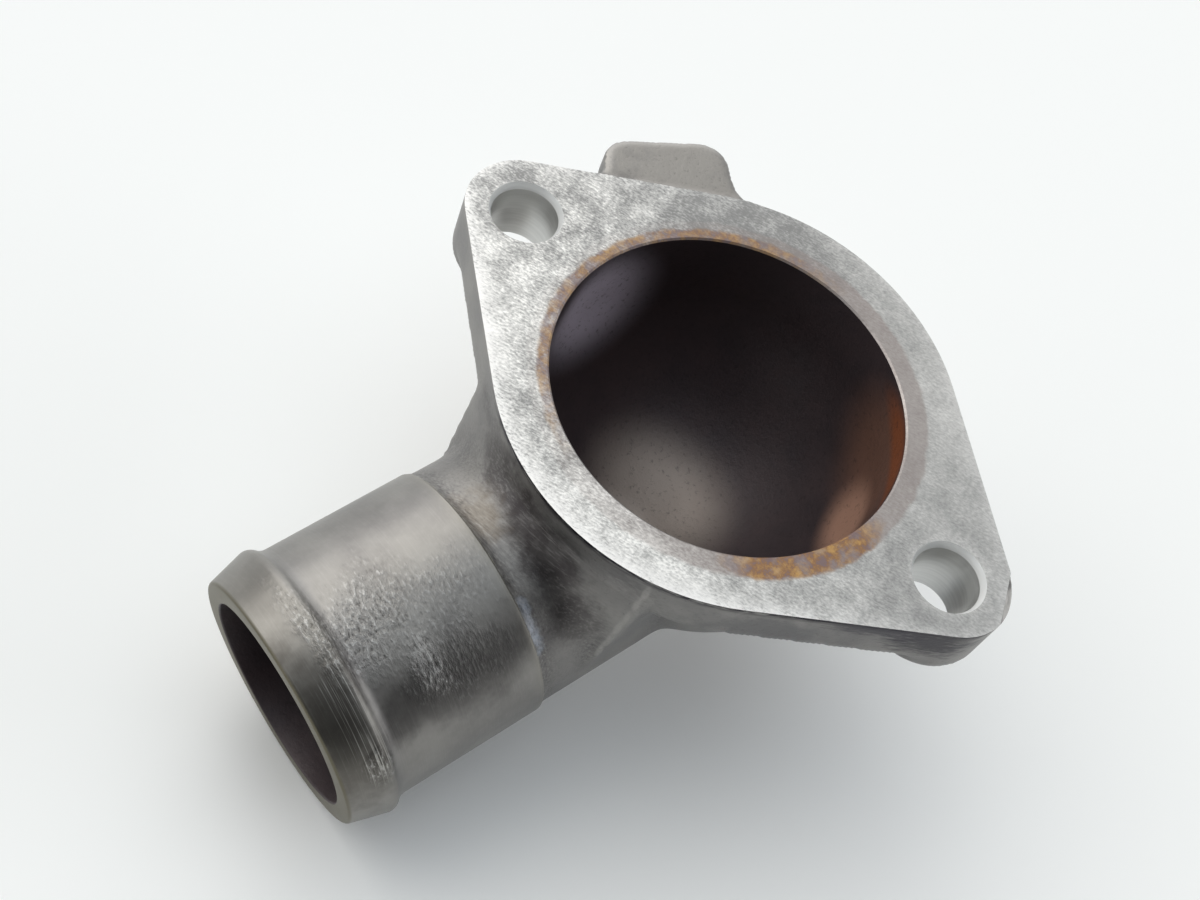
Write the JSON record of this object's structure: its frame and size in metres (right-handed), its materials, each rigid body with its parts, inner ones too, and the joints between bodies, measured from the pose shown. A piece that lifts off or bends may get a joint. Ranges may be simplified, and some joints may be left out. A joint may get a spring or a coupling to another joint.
{
  "type": "thermostat housing",
  "caption": "One-piece cast aluminium coolant elbow: eared bolt flange with a machined joint face round a bowl-shaped chamber, a side hose spigot with a bead, and a small cast tab.",
  "frame": {"origin": "middle of the bowl's opening, on the machined joint face", "axes": "+X through the two bolt holes, +Z out of the joint face, the spigot leaves towards -Y"},
  "size_m": [0.0816, 0.09, 0.0422],
  "materials": {
    "cast_aluminium": "cast, with a machined joint face and a turned hose seat, stained and scuffed in use"
  },
  "bodies": {
    "root": {"housing": "cast_aluminium"}
  },
  "joints": []
}
